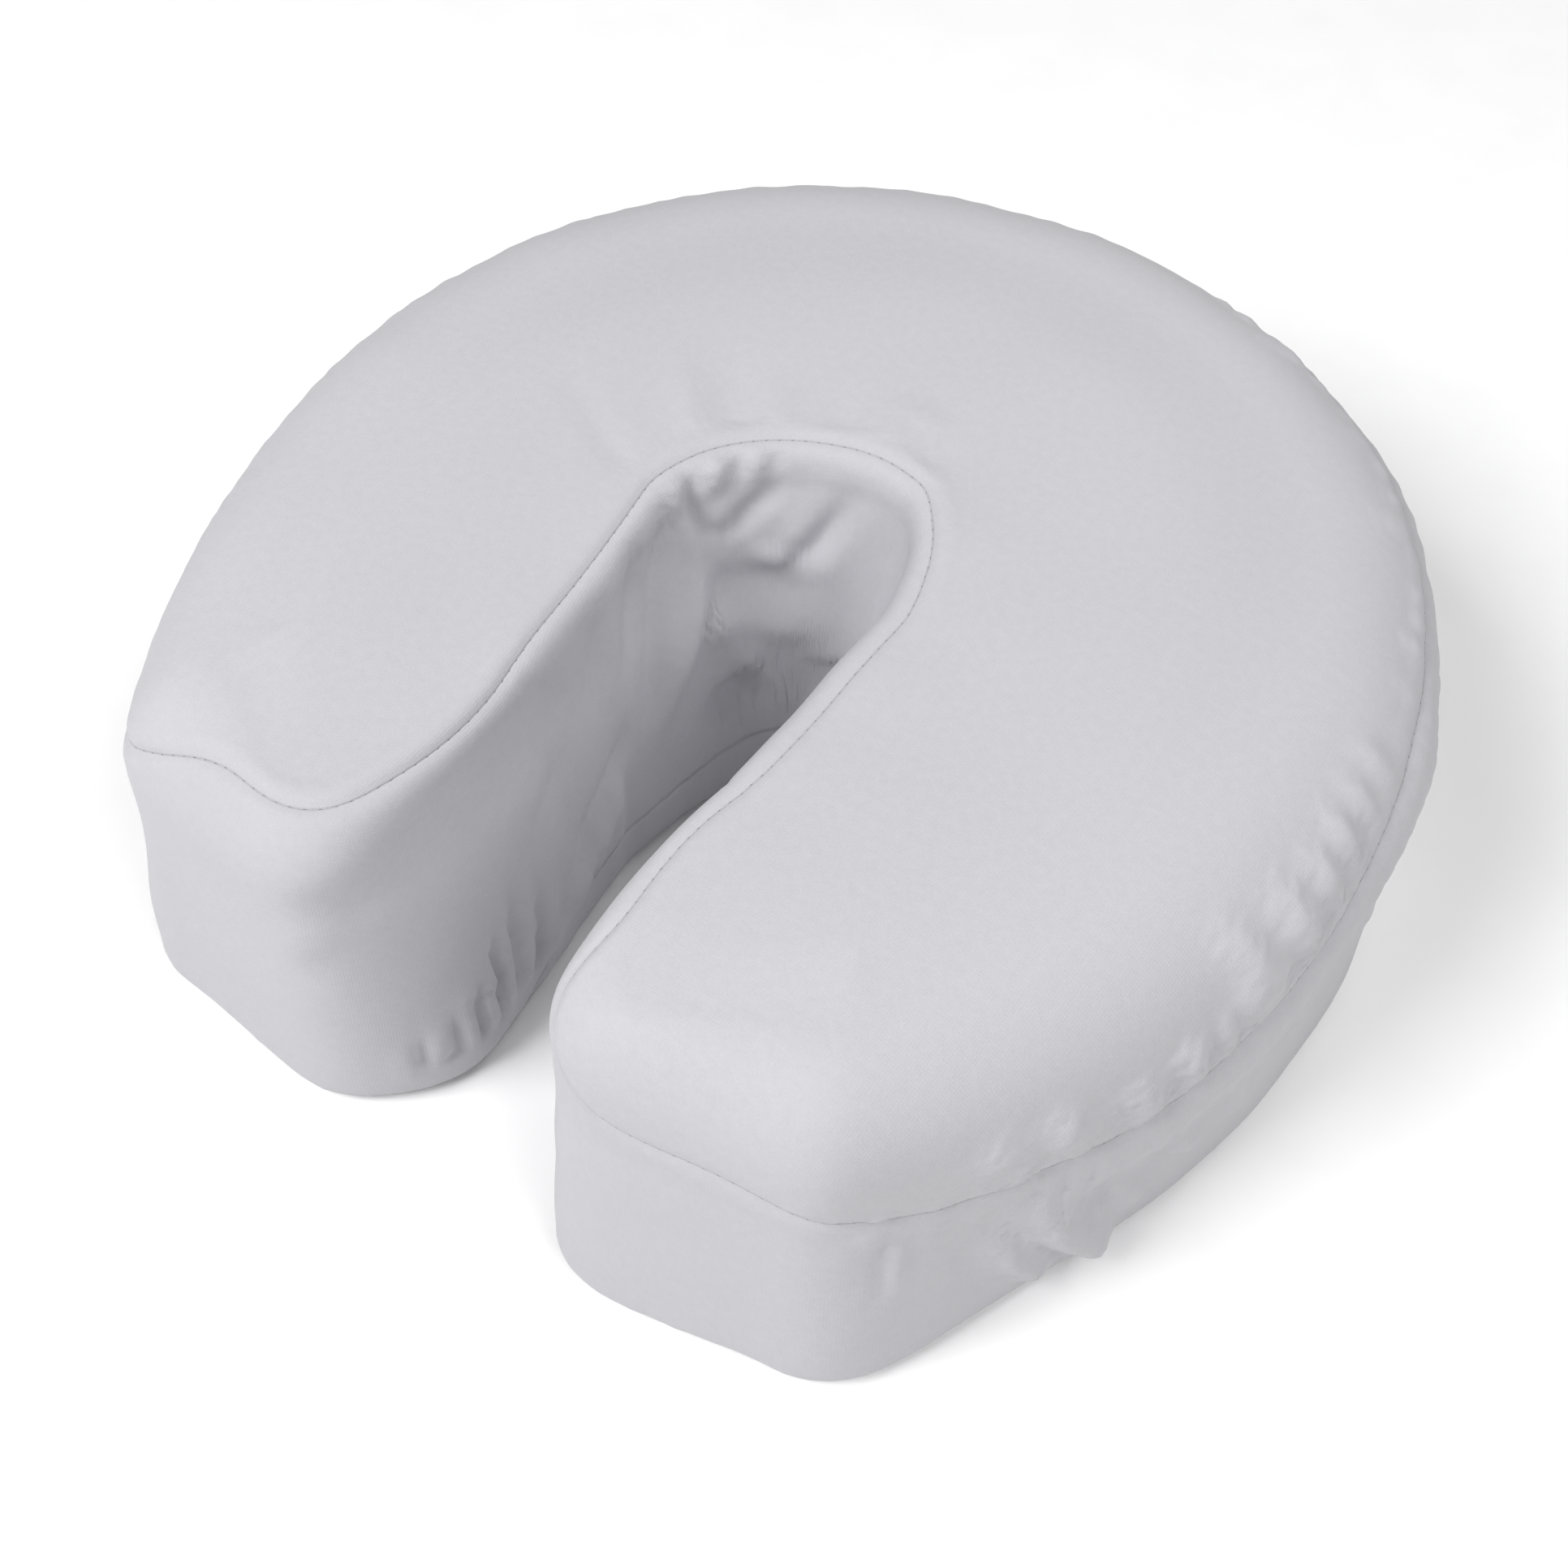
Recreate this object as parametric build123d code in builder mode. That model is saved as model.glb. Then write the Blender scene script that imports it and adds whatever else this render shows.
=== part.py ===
"""A crescent face cradle cushion in its fitted cloth cover, for the head end of a massage table.

Millimetres. Z is up, the crown of the crescent is at +Y and the mouth of the throat opens at -Y.
The origin is at the centre of the underside, in the plane that the hem and the loop patches rest on.
"""

import os
from math import cos, radians, sin, sqrt

from build123d import *

# Plan of the covered cushion
crown_radius = 141.5  # outer edge, crown half
flank_radius = 215.0  # outer edge, from the widest point down to the tips
centre_y = 3.9  # of the crown arc, which centres the outline on the origin
tip_slope = 9.0  # degrees that the face of each tip slants back
tip_point = (56.0, -142.0)  # a point on the face of the right tip
tip_outer_round = 9.0
tip_throat_round = 12.0
throat_radius = 33.0  # round end of the throat
throat_end_y = -15.5  # its centre
neck_half_width = 24.5  # the throat narrows towards the mouth
neck_y = -92.0
mouth_half_width = 26.5
throat_zone = (-60.0, -124.0, 60.0, 46.0)  # plan rectangle round the throat: x, y to x, y

# Side view
height = 92.0
outer_edge_round = 28.0
throat_edge_round = 9.0
bottom_edge_round = 3.0
throat_lean = 8.0  # the elastic draws the foot of the cover into the throat by this much
round_steps = (0.0, 30.0, 60.0, 90.0)  # degrees, where the rounded edge has a section

# Cloth cover
cover_thick = 0.8
cover_clear = 0.4  # between the cover and the cushion
hem_thick = 2.2
hem_reach = 15.0  # how far the hem turns in under the cushion
hem_rise_outside = 5.0
hem_rise_throat = 17.0
cover_seam_outside = height - outer_edge_round  # where the edge starts to round
cover_seam_throat = 83.0  # height of the seam round the throat
elastic_width = 8.0
elastic_thick = 0.8
elastic_inset = 3.0
thread = 0.6

# Upholstered cushion
skin_thick = 1.2
skin_top_seam = 62.0
skin_bottom_seam = 9.0
foam_split = 48.0  # top of the support layer
patch_width = 40.0
patch_round = 6.0
crown_patch_length = 120.0
crown_patch_y = 82.0
arm_patch_length = 84.0
arm_patch_x = 86.0
arm_patch_y = -24.0
patch_stitch_inset = 3.0

tall = 2 * height  # longer than any cut needs
os.makedirs("parts", exist_ok=True)


def tip_corner(inset):
    """Where the outer edge meets the face of the right tip, with both drawn in by inset."""
    along = (cos(radians(tip_slope)), sin(radians(tip_slope)))
    base_x = tip_point[0] - inset * along[1] + flank_radius - crown_radius
    base_y = tip_point[1] + inset * along[0] - centre_y
    middle = base_x * along[0] + base_y * along[1]
    reach = sqrt(middle**2 + (flank_radius - inset) ** 2 - base_x**2 - base_y**2) - middle
    return (
        base_x + reach * along[0] - (flank_radius - crown_radius),
        base_y + reach * along[1] + centre_y,
    )


def crescent(z, inset=0.0, throat_inset=0.0):
    """The crescent's outline as a face at height z; a positive throat_inset widens the throat."""
    corner_x, corner_y = tip_corner(inset)
    flank_end = (crown_radius - inset, centre_y)
    mouth = mouth_half_width + throat_inset
    slope = sin(radians(tip_slope)) / cos(radians(tip_slope))
    mouth_y = tip_point[1] + inset / cos(radians(tip_slope)) - (tip_point[0] - mouth) * slope
    neck = neck_half_width + throat_inset
    throat = throat_radius + throat_inset
    with BuildSketch(Plane.XY.offset(z)) as outline:
        with BuildLine():
            CenterArc((0, centre_y), crown_radius - inset, 0, 180)
            for side in (1, -1):
                RadiusArc(
                    (side * flank_end[0], flank_end[1]),
                    (side * corner_x, corner_y),
                    side * (flank_radius - inset),
                )
                Line((side * corner_x, corner_y), (side * mouth, mouth_y))
                ThreePointArc(
                    (side * mouth, mouth_y), (side * neck, neck_y), (side * throat, throat_end_y)
                )
            CenterArc((0, throat_end_y), throat, 0, 180)
        make_face()
        fillet(outline.vertices().group_by(Axis.Y)[0], tip_throat_round)
        fillet(outline.vertices().filter_by(lambda v: abs(v.Y - corner_y) < 0.01), tip_outer_round)
    return outline.sketch


def edge_round(z, top, radius):
    """How far a rounded top edge has drawn in at height z."""
    rise = max(0.0, z - top + radius)
    return radius - sqrt(max(0.0, radius**2 - rise**2))


def sections(inset, bottom, lean=0.0):
    """Faces of the cushion's shape drawn in by inset, from its bottom to its top."""
    top = height - inset
    outer_round = outer_edge_round - inset
    steps = [top - outer_round + outer_round * sin(radians(step)) for step in round_steps]
    faces = []
    for z in [bottom, bottom + bottom_edge_round] + steps:
        foot = bottom_edge_round if z == bottom else 0.0
        leaning = lean * max(0.0, 1 - z / cover_seam_throat)
        outer = inset + foot + edge_round(z, top, outer_round)
        throat = inset + foot * (lean == 0) + edge_round(z, top, throat_edge_round) - leaning
        faces.append(crescent(z, outer, throat))
    return faces


def zone(low, high):
    """The block that holds the throat's walls, between two heights."""
    x_low, y_low, x_high, y_high = throat_zone
    with BuildPart() as block:
        with BuildSketch(Plane.XY.offset(low)):
            with Locations(((x_low + x_high) / 2, (y_low + y_high) / 2)):
                Rectangle(x_high - x_low, y_high - y_low)
        extrude(amount=high - low)
    return block.part


def slab(low, high):
    """A block wider than the cushion, between two heights."""
    with BuildPart() as block:
        with BuildSketch(Plane.XY.offset(low)):
            Rectangle(4 * crown_radius, 4 * crown_radius)
        extrude(amount=high - low)
    return block.part


def ring(low, high, outer, inner):
    """A band that follows the crescent; outer and inner are its (inset, throat_inset) pairs."""
    with BuildPart() as band:
        with BuildSketch(Plane.XY.offset(low)):
            add(crescent(0, *outer))
            add(crescent(0, *inner), mode=Mode.SUBTRACT)
        extrude(amount=high - low)
    return band.part


def throat_draw(z):
    """How far the leaning foot of the cover stands into the throat at height z, as a negative inset."""
    return -throat_lean * max(0.0, 1 - z / cover_seam_throat)


def around(inset, throat_inset, width=thread):
    """The pairs of insets of a band of this width, centred on the given ones."""
    return (
        (inset - width / 2, throat_inset - width / 2),
        (inset + width / 2, throat_inset + width / 2),
    )


# Forms that the shells are cut from, one inside the other
skin_inset = cover_thick + cover_clear
skin_bottom = hem_thick + cover_clear
with BuildPart() as cover_form:
    loft(sections(0, 0, throat_lean), ruled=True)
with BuildPart() as cover_space:
    loft(sections(cover_thick, hem_thick, throat_lean), ruled=True)
with BuildPart() as skin_form:
    loft(sections(skin_inset, skin_bottom), ruled=True)
with BuildPart() as foam_form:
    loft(sections(skin_inset + skin_thick, skin_bottom + skin_thick), ruled=True)

# Foam: a firm layer below and a slow-recovery layer above
with BuildPart() as support_foam:
    add(foam_form.part)
    add(slab(foam_split, tall), mode=Mode.SUBTRACT)
support_foam.part.label = "support_foam"
export_step(support_foam.part, "parts/support_foam.step")

with BuildPart() as comfort_foam:
    add(foam_form.part)
    add(slab(-tall, foam_split), mode=Mode.SUBTRACT)
comfort_foam.part.label = "comfort_foam"
export_step(comfort_foam.part, "parts/comfort_foam.step")

# Seam threads of the upholstery, half sunk into the skin
with BuildPart() as upholstery_top_stitching:
    low, high = skin_top_seam - thread / 2, skin_top_seam + thread / 2
    add(ring(low, high, *around(skin_inset, skin_inset)))
upholstery_top_stitching.part.label = "upholstery_top_stitching"
export_step(upholstery_top_stitching.part, "parts/upholstery_top_stitching.step")

with BuildPart() as upholstery_bottom_stitching:
    low, high = skin_bottom_seam - thread / 2, skin_bottom_seam + thread / 2
    add(ring(low, high, *around(skin_inset, skin_inset)))
upholstery_bottom_stitching.part.label = "upholstery_bottom_stitching"
export_step(upholstery_bottom_stitching.part, "parts/upholstery_bottom_stitching.step")

# The upright seams where the outer band meets the throat band, just inside the mouth
x_low, y_low, x_high, y_high = throat_zone
with BuildPart() as upholstery_corner_stitching:
    add(ring(skin_bottom_seam + thread, skin_top_seam - thread, *around(skin_inset, skin_inset)))
    with BuildSketch():
        with Locations((0, y_low)):
            Rectangle(x_high - x_low, thread)
    extrude(amount=tall, mode=Mode.INTERSECT)
upholstery_corner_stitching.part.label = "upholstery_corner_stitching"
export_step(upholstery_corner_stitching.part, "parts/upholstery_corner_stitching.step")

# Upholstery skin, cut at its seams
with BuildPart() as skin:
    add(skin_form.part)
    add(foam_form.part, mode=Mode.SUBTRACT)
    add(upholstery_top_stitching.part, mode=Mode.SUBTRACT)
    add(upholstery_bottom_stitching.part, mode=Mode.SUBTRACT)
    add(upholstery_corner_stitching.part, mode=Mode.SUBTRACT)

with BuildPart() as upholstery_top_panel:
    add(skin.part)
    add(slab(skin_top_seam, tall), mode=Mode.INTERSECT)
upholstery_top_panel.part.label = "upholstery_top_panel"
export_step(upholstery_top_panel.part, "parts/upholstery_top_panel.step")

with BuildPart() as upholstery_bottom_panel:
    add(skin.part)
    add(slab(-tall, skin_bottom_seam), mode=Mode.INTERSECT)
upholstery_bottom_panel.part.label = "upholstery_bottom_panel"
export_step(upholstery_bottom_panel.part, "parts/upholstery_bottom_panel.step")

with BuildPart() as upholstery_throat_band:
    add(skin.part)
    add(zone(skin_bottom_seam, skin_top_seam), mode=Mode.INTERSECT)
upholstery_throat_band.part.label = "upholstery_throat_band"
export_step(upholstery_throat_band.part, "parts/upholstery_throat_band.step")

with BuildPart() as upholstery_outer_band:
    add(skin.part)
    add(slab(skin_bottom_seam, skin_top_seam), mode=Mode.INTERSECT)
    add(zone(skin_bottom_seam, skin_top_seam), mode=Mode.SUBTRACT)
upholstery_outer_band.part.label = "upholstery_outer_band"
export_step(upholstery_outer_band.part, "parts/upholstery_outer_band.step")

# Loop patches under the cushion, and the thread round the rim of each
patches = {
    "crown": ((0, crown_patch_y), (crown_patch_length, patch_width)),
    "left": ((-arm_patch_x, arm_patch_y), (patch_width, arm_patch_length)),
    "right": ((arm_patch_x, arm_patch_y), (patch_width, arm_patch_length)),
}
with BuildPart() as loop_patch_stitching:
    for place, (length, width) in patches.values():
        with BuildSketch():
            with Locations(place):
                rim = 2 * patch_stitch_inset
                RectangleRounded(length - rim, width - rim, patch_round - patch_stitch_inset)
                rim += 2 * thread
                RectangleRounded(
                    length - rim, width - rim, patch_round - patch_stitch_inset - thread,
                    mode=Mode.SUBTRACT,
                )
        extrude(amount=thread)
loop_patch_stitching.part.label = "loop_patch_stitching"
export_step(loop_patch_stitching.part, "parts/loop_patch_stitching.step")

for name, (place, (length, width)) in patches.items():
    with BuildPart() as loop_patch:
        with BuildSketch():
            with Locations(place):
                RectangleRounded(length, width, patch_round)
        extrude(amount=skin_bottom)
        add(loop_patch_stitching.part, mode=Mode.SUBTRACT)
    loop_patch.part.label = f"loop_patch_{name}"
    export_step(loop_patch.part, f"parts/loop_patch_{name}.step")

# Threads of the cover, half sunk into the cloth
with BuildPart() as throat_stitching:
    low, high = cover_seam_throat - thread / 2, cover_seam_throat + thread / 2
    add(ring(low, high, *around(0, throat_draw(cover_seam_throat))))
    add(zone(low, high), mode=Mode.INTERSECT)

with BuildPart() as cover_top_stitching:
    low, high = cover_seam_outside - thread / 2, cover_seam_outside + thread / 2
    add(ring(low, high, *around(0, throat_draw(cover_seam_outside))))
    add(zone(low, high), mode=Mode.SUBTRACT)
    add(throat_stitching.part)
cover_top_stitching.part.label = "cover_top_stitching"
export_step(cover_top_stitching.part, "parts/cover_top_stitching.step")

# The upright seam that closes the side band, at the middle of the crown
with BuildPart() as cover_join_stitching:
    add(ring(hem_rise_outside + thread, cover_seam_outside - thread, *around(0, 0)))
    with BuildSketch():
        with Locations((0, crown_radius)):
            Rectangle(thread, crown_radius)
    extrude(amount=tall, mode=Mode.INTERSECT)
cover_join_stitching.part.label = "cover_join_stitching"
export_step(cover_join_stitching.part, "parts/cover_join_stitching.step")

# Hem: turned in flat under the cushion outside, and upright on the wall of the throat
hem_wall = throat_draw(hem_rise_throat)  # throat inset of the hem's upper edge
elastic_wall = hem_wall + elastic_thick
with BuildPart() as throat_elastic:
    low, high = (hem_thick - elastic_thick) / 2, (hem_thick + elastic_thick) / 2
    add(ring(low, low + elastic_width, *around(elastic_inset, elastic_wall, elastic_thick)))
    add(zone(low, low + elastic_width), mode=Mode.INTERSECT)

with BuildPart() as cover_hem_elastic:
    flat_inset = elastic_inset + elastic_width / 2
    flat_throat = elastic_wall + (elastic_width - elastic_thick) / 2
    add(ring(low, high, *around(flat_inset, flat_throat, elastic_width)))
    add(zone(low, high), mode=Mode.SUBTRACT)
    add(throat_elastic.part)
cover_hem_elastic.part.label = "cover_hem_elastic"
export_step(cover_hem_elastic.part, "parts/cover_hem_elastic.step")

with BuildPart() as throat_hem_stitching:
    low = hem_rise_throat - 2 * thread
    add(ring(low, low + thread, *around(0, throat_draw(low))))
    add(zone(low, low + thread), mode=Mode.INTERSECT)

with BuildPart() as cover_hem_stitching:
    add(ring(0, thread, *around(hem_reach - 2 * thread, hem_reach - 2 * thread)))
    add(zone(0, thread), mode=Mode.SUBTRACT)
    add(throat_hem_stitching.part)
cover_hem_stitching.part.label = "cover_hem_stitching"
export_step(cover_hem_stitching.part, "parts/cover_hem_stitching.step")

# Cover shell, cut at its seams
with BuildPart() as cloth:
    add(cover_form.part)
    add(cover_space.part, mode=Mode.SUBTRACT)
    add(cover_top_stitching.part, mode=Mode.SUBTRACT)
    add(cover_join_stitching.part, mode=Mode.SUBTRACT)

with BuildPart() as cover_top_panel:
    add(cloth.part)
    add(slab(cover_seam_outside, tall), mode=Mode.INTERSECT)
    add(zone(cover_seam_outside, cover_seam_throat), mode=Mode.SUBTRACT)
cover_top_panel.part.label = "cover_top_panel"
export_step(cover_top_panel.part, "parts/cover_top_panel.step")

with BuildPart() as cover_side_band:
    add(cloth.part)
    add(slab(hem_rise_outside, cover_seam_throat), mode=Mode.INTERSECT)
    add(zone(-tall, hem_rise_throat), mode=Mode.SUBTRACT)
    add(cover_top_panel.part, mode=Mode.SUBTRACT)
cover_side_band.part.label = "cover_side_band"
export_step(cover_side_band.part, "parts/cover_side_band.step")

with BuildPart() as throat_hem:
    add(cover_form.part)
    with BuildSketch():
        add(crescent(0, 0, hem_wall + hem_thick))
    extrude(amount=tall, mode=Mode.SUBTRACT)
    add(zone(0, hem_rise_throat), mode=Mode.INTERSECT)

with BuildPart() as cover_hem_casing:
    add(cloth.part)
    add(slab(-tall, hem_rise_outside), mode=Mode.INTERSECT)
    with BuildSketch():
        add(crescent(0, hem_reach, hem_reach))
    extrude(amount=hem_thick, mode=Mode.SUBTRACT)
    add(zone(-tall, tall), mode=Mode.SUBTRACT)
    add(throat_hem.part)
    add(cover_hem_elastic.part, mode=Mode.SUBTRACT)
    add(cover_hem_stitching.part, mode=Mode.SUBTRACT)
cover_hem_casing.part.label = "cover_hem_casing"
export_step(cover_hem_casing.part, "parts/cover_hem_casing.step")
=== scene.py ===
"""A face cradle cushion in its fitted cloth cover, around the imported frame. Metres, Z up.

Every soft shape is a net of columns and rings. A spine runs round the middle of the crescent, and a
column starts at the spine, crosses the top, turns over the edge and goes down the wall. A ring joins
the same place on every column, so a ring is a seam or a hem.
"""

from math import cos, pi, radians, sin

import bmesh
import bpy
import numpy as np
from mathutils import Matrix, Vector
from mathutils.bvhtree import BVHTree


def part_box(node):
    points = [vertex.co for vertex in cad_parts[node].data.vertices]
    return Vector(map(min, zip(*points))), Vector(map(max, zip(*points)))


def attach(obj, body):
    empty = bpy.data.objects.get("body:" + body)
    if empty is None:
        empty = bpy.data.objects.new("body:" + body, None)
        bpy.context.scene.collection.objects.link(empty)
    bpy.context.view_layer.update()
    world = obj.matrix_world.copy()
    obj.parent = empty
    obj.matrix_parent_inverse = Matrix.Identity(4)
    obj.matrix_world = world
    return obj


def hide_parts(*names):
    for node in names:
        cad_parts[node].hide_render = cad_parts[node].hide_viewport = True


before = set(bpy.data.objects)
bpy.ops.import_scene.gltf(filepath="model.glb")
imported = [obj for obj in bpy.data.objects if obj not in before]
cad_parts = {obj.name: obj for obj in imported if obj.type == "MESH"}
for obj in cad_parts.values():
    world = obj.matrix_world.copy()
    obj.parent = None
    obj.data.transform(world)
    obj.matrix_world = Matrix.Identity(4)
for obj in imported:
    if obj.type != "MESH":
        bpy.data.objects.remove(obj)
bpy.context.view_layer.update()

# From the frame
foam_low, foam_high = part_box("support_foam")
skin_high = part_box("upholstery_outer_band")[1]
skin_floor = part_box("upholstery_bottom_panel")[0].z
skin_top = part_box("upholstery_top_panel")[1].z
band_low, band_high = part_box("cover_side_band")
cover_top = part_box("cover_top_panel")[1].z
foam_depth = band_high.x - foam_high.x  # from the cover's face to the foam
skin_depth = band_high.x - skin_high.x  # and to the upholstery

# The spine: half an ellipse round the end of the throat, and an arm that bends in towards each tip
spine_centre_y = -0.017
spine_half_width = 0.0875
spine_rise = 0.0965
arm_end_y = -0.095
arm_bend = 2.8  # per metre
spine_points = 520
tip_points = 90  # columns that fan round each tip, and one more
throat_columns_start = spine_points + tip_points - 1

# Side view
outer_round = 0.033
throat_round = 0.009
tip_sharpness = 0.009  # the edge is less rounded at the tips
foot_round = 0.005
edge_fullness = 0.86  # 1 is a round edge, and less is a fuller one with no line where it starts
crown_rise = 0.0015  # the top is a little fuller over the spine
under_reach = 0.015  # the hem turns in under the cushion
full_height = 0.07  # up to here the corners of the tips are full
flat_steps, turn_steps, wall_steps, under_steps = 60, 40, 50, 20  # along a column


# ---------------------------------------------------------------- the net of columns and rings


def spine_line():
    """The spine, evenly spaced, from the end of the left arm round the crown to the right."""
    low = np.linspace(arm_end_y, spine_centre_y, 400)
    arm_x = spine_half_width - arm_bend * (low - spine_centre_y) ** 2
    angle = np.linspace(pi, 0, 1200)
    x = np.concatenate([-arm_x, spine_half_width * np.cos(angle), arm_x[::-1]])
    y = np.concatenate([low, spine_centre_y + spine_rise * np.sin(angle), low[::-1]])
    length = np.concatenate([[0], np.cumsum(np.hypot(np.diff(x), np.diff(y)))])
    even = np.linspace(0, length[-1], spine_points)
    return np.stack([np.interp(even, length, x), np.interp(even, length, y)], axis=1)


def smooth_ring(values, times):
    """Values round the outline, each blended with its two neighbours, so many times."""
    for _ in range(times):
        values = (np.roll(values, 1, 0) + 2 * values + np.roll(values, -1, 0)) / 4
    return values


def lay_columns():
    """For each column: its foot on the spine, the way it runs and how far off the cover's wall is."""
    spine = spine_line()
    ahead = np.gradient(spine, axis=0)
    ahead /= np.linalg.norm(ahead, axis=1)[:, None]
    outward = np.stack([-ahead[:, 1], ahead[:, 0]], axis=1)
    turn = np.linspace(0, pi, tip_points + 1)[1:-1, None]
    right_fan = outward[-1] * np.cos(turn) + ahead[-1] * np.sin(turn)
    left_fan = -outward[0] * np.cos(turn) - ahead[0] * np.sin(turn)
    still = np.ones((tip_points - 1, 1))
    feet = np.concatenate([spine, spine[-1] * still, spine[::-1], spine[0] * still])
    ways = np.concatenate([outward, right_fan, -outward[::-1], left_fan])
    foam_node = bpy.data.objects["support_foam"]
    foam = BVHTree.FromObject(foam_node, bpy.context.evaluated_depsgraph_get())
    middle = (foam_low.z + foam_high.z) / 2
    least_facing = 0.7  # where a column meets the foam at a slant, the cover isn't set off further
    reach = []
    for (x, y), (dx, dy) in zip(feet, ways):
        way = Vector((dx, dy, 0))
        normal, _, distance = foam.ray_cast(Vector((x, y, middle)), way)[1:]
        reach.append(distance + foam_depth / max(abs(way.dot(normal)), least_facing))
    return feet, ways, smooth_ring(np.array(reach), 16)


def outline(reaches):
    """The cover's outline in plan, and the metres along it from the left arm's end."""
    walls = feet + ways * reaches[:, None]
    steps = np.linalg.norm(np.diff(walls, axis=0), axis=1)
    return walls, np.concatenate([[0], np.cumsum(steps)])


feet, ways, reaches = lay_columns()
n_columns = len(feet)
crown_column = spine_points // 2  # the middle of the crown, on the outer side
throat_column = throat_columns_start + spine_points // 2  # the middle of the throat's end
walls, along = outline(reaches)

# The throat's right side is padded out further than its left: metres to the right of the middle of
# its end, and how much further
fuller_marks = (
    (0.120, 0.0), (0.100, 0.0008), (0.090, 0.0020), (0.080, 0.0036), (0.070, 0.0053),
    (0.060, 0.0070), (0.050, 0.0088), (0.040, 0.0085), (0.030, 0.0062), (0.020, 0.0025),
    (0.010, -0.0012), (0.000, -0.0008), (-0.010, 0.0),
)
fuller_places, fuller = zip(*fuller_marks)
reaches += smooth_ring(np.interp(along, along[throat_column] - np.array(fuller_places), fuller), 60)
walls, along = outline(reaches)
turning = np.linspace(0, 1, tip_points + 1)[1:-1]
in_throat = np.concatenate(  # 0 on the outer side, 1 in the throat, turning across the tips
    [np.zeros(spine_points), turning, np.ones(spine_points), 1 - turning]
)


def ease(value, start, end):
    """0 before start, 1 after end, and smooth between them."""
    t = np.clip((value - start) / (end - start), 0, 1)
    return t * t * (3 - 2 * t)


throat_share = ease(in_throat, 0.35, 0.95)
near_tip = smooth_ring(np.where((in_throat > 0) & (in_throat < 0.8), 1.0, 0.0), 400)


def profile(i, inset, low, high, lean):
    """Column i from the spine to its foot: metres drawn in from the wall, height, the length run
    so far, and the length at which the edge starts to turn down."""
    edge = outer_round + (throat_round - outer_round) * throat_share[i]
    edge = edge - tip_sharpness * near_tip[i] - inset
    flat = np.linspace(reaches[i] - inset, edge, flat_steps)
    rise = crown_rise * ease(flat, edge, reaches[i] - inset)
    turn = np.linspace(0, pi / 2, turn_steps)
    wall = np.linspace(high - edge, low + foot_round, wall_steps)
    under = np.linspace(foot_round, under_reach, under_steps)
    roll_in, roll_down = (edge * (1 - np.abs(f(turn)) ** edge_fullness) for f in (np.sin, np.cos))
    across = [flat, roll_in, np.zeros(wall_steps), foot_round * (1 - np.cos(turn)), under]
    foot = low + foot_round * (1 - np.sin(turn))
    up = [high + rise, high - roll_down, wall, foot, np.full(under_steps, low)]
    across, up = np.concatenate(across), np.concatenate(up)
    leaning = lean[i] * np.clip(1 - up / (high - edge), 0, 1)
    across = across + inset - leaning
    length = np.concatenate([[0], np.cumsum(np.hypot(np.diff(across), np.diff(up)))])
    return across, up, length, length[flat_steps - 1]


def net(stops, rings, inset, low, high, lean, fullness=None):
    """Points of a net (column, ring, xyz). stops(i, edge, end) gives the lengths down column i
    between which each count in rings is spread. lean is how far the foot of each column stands
    out past the top of its wall, and fullness pushes the low part of the wall out further."""
    points = np.zeros((n_columns, sum(rings) + 1, 3))
    for i in range(n_columns):
        across, up, length, edge = profile(i, inset, low, high, lean)
        marks = stops(i, edge, length[-1])
        places = [np.linspace(a, b, n + 1)[:-1] for a, b, n in zip(marks, marks[1:], rings)]
        places = np.concatenate(places + [[marks[-1]]])
        away = reaches[i] - np.interp(places, length, across)
        if fullness is not None:
            away += fullness[i] * ease(np.interp(places, length, up), full_height, 0)
        points[i, :, :2] = feet[i] + ways[i] * away[:, None]
        points[i, :, 2] = np.interp(places, length, up)
    return points


def mesh_object(name, points, first, last, chart, closed_spine=False):
    """A piece made of the net's rings from first to last. chart gives each point its place in
    metres on the flat cloth, which the weave and the grain follow. With closed_spine, points that
    the columns of both sides share there are made one. The faces look inwards."""
    count = last - first + 1
    column, ring = np.meshgrid(np.arange(n_columns), np.arange(count - 1), indexing="ij")
    a, b = column * count + ring, (column + 1) % n_columns * count + ring
    corners = np.stack([a, a + 1, b + 1, b], axis=-1).reshape(-1, 4)
    flat = chart[:, first : last + 1].reshape(-1, 2)[corners]
    flat[..., 0] += along[-1] * (flat[..., 0] < flat[:, :1, 0] - along[-1] / 2)  # the last column
    mesh = bpy.data.meshes.new(name)
    mesh.from_pydata(points[:, first : last + 1].reshape(-1, 3).tolist(), [], corners.tolist())
    mesh.uv_layers.new(name="cloth").data.foreach_set("uv", flat.ravel())
    if closed_spine:
        work = bmesh.new()
        work.from_mesh(mesh)
        bmesh.ops.remove_doubles(work, verts=work.verts, dist=1e-5)
        work.to_mesh(mesh)
        work.free()
    return link_smooth(name, mesh)


def link_smooth(name, mesh):
    """An object in the scene with this mesh, smooth all over."""
    mesh.polygons.foreach_set("use_smooth", [True] * len(mesh.polygons))
    mesh.update()
    piece = bpy.data.objects.new(name, mesh)
    bpy.context.scene.collection.objects.link(piece)
    return piece


# ---------------------------------------------------------------- the cover's seams

columns = np.arange(n_columns)


def outside(a):
    """A place along the outline, a metres to the right of the crown's middle on the outer side."""
    return along[crown_column] + a


def inside(a):
    """The same in the throat, a metres to the right of the middle of its round end."""
    return along[throat_column] - a


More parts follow.
